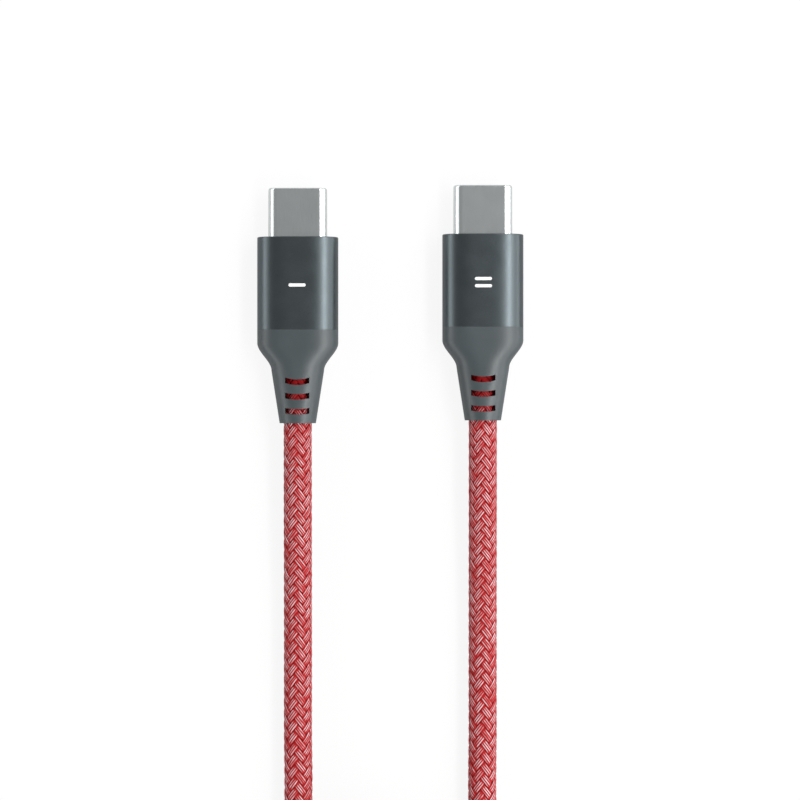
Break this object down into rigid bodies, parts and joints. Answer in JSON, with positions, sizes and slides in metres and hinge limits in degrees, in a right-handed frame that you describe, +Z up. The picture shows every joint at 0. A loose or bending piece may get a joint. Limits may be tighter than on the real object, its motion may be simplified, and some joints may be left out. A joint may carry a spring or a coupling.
{
  "type": "usb-c charging cable",
  "caption": "Braided charging cable with a flat metal USB-C plug and slotted rubber boot at each end, spare cord folded in a tied hank.",
  "frame": {"origin": "on the surface that the plugs lie on, midway between the two plugs across and along", "axes": "+Y along both plugs towards their tips, +X from plug A to plug B, +Z up through the plugs' flat faces"},
  "size_m": [0.0454, 0.1796, 0.0109],
  "materials": {
    "shell_steel": "drawn and nickel plated, satin",
    "insulator_plastic": "moulded black",
    "spring_steel": "stamped spring sheet",
    "contact_gold": "gold plated",
    "board_laminate": "green solder mask",
    "capacitor_ceramic": "fired ceramic",
    "chip_plastic": "moulded black",
    "can_steel": "stamped tin plate",
    "crimp_brass": "rolled",
    "core_shield": "foil and tinned braid",
    "power_wire_skin": "extruded insulation, red and black",
    "signal_wire_skin": "extruded insulation, green, white and blue",
    "mould_plastic": "moulded, natural white",
    "housing_aluminium": "bead blasted and anodised dark slate grey",
    "boot_rubber": "moulded matte grey thermoplastic rubber",
    "cord_braid": "braided red yarn",
    "tie_fabric": "woven hook-and-loop strap"
  },
  "bodies": {
    "root": {"shell_a": "shell_steel", "insulator_a": "insulator_plastic", "latch_plate_a": "spring_steel", "upper_contacts_a": "contact_gold", "lower_contacts_a": "contact_gold", "ground_springs_a": "spring_steel", "board_a": "board_laminate", "capacitors_a": "capacitor_ceramic", "id_chip_a": "chip_plastic", "upper_can_a": "can_steel", "lower_can_a": "can_steel", "crimp_ring_a": "crimp_brass", "cable_core_a": "core_shield", "power_wires_a": "power_wire_skin", "signal_wires_a": "signal_wire_skin", "inner_mould_a": "mould_plastic", "housing_a": "housing_aluminium", "boot_a": "boot_rubber", "cord_tail_a": "cord_braid", "shell_b": "shell_steel", "insulator_b": "insulator_plastic", "latch_plate_b": "spring_steel", "upper_contacts_b": "contact_gold", "lower_contacts_b": "contact_gold", "ground_springs_b": "spring_steel", "board_b": "board_laminate", "capacitors_b": "capacitor_ceramic", "upper_can_b": "can_steel", "lower_can_b": "can_steel", "crimp_ring_b": "crimp_brass", "cable_core_b": "core_shield", "power_wires_b": "power_wire_skin", "signal_wires_b": "signal_wire_skin", "inner_mould_b": "mould_plastic", "housing_b": "housing_aluminium", "boot_b": "boot_rubber", "cord_tail_b": "cord_braid", "cable_lead_a": "cord_braid", "cable_hank": "cord_braid", "cable_lead_b": "cord_braid", "hank_tie": "tie_fabric"}
  },
  "joints": []
}
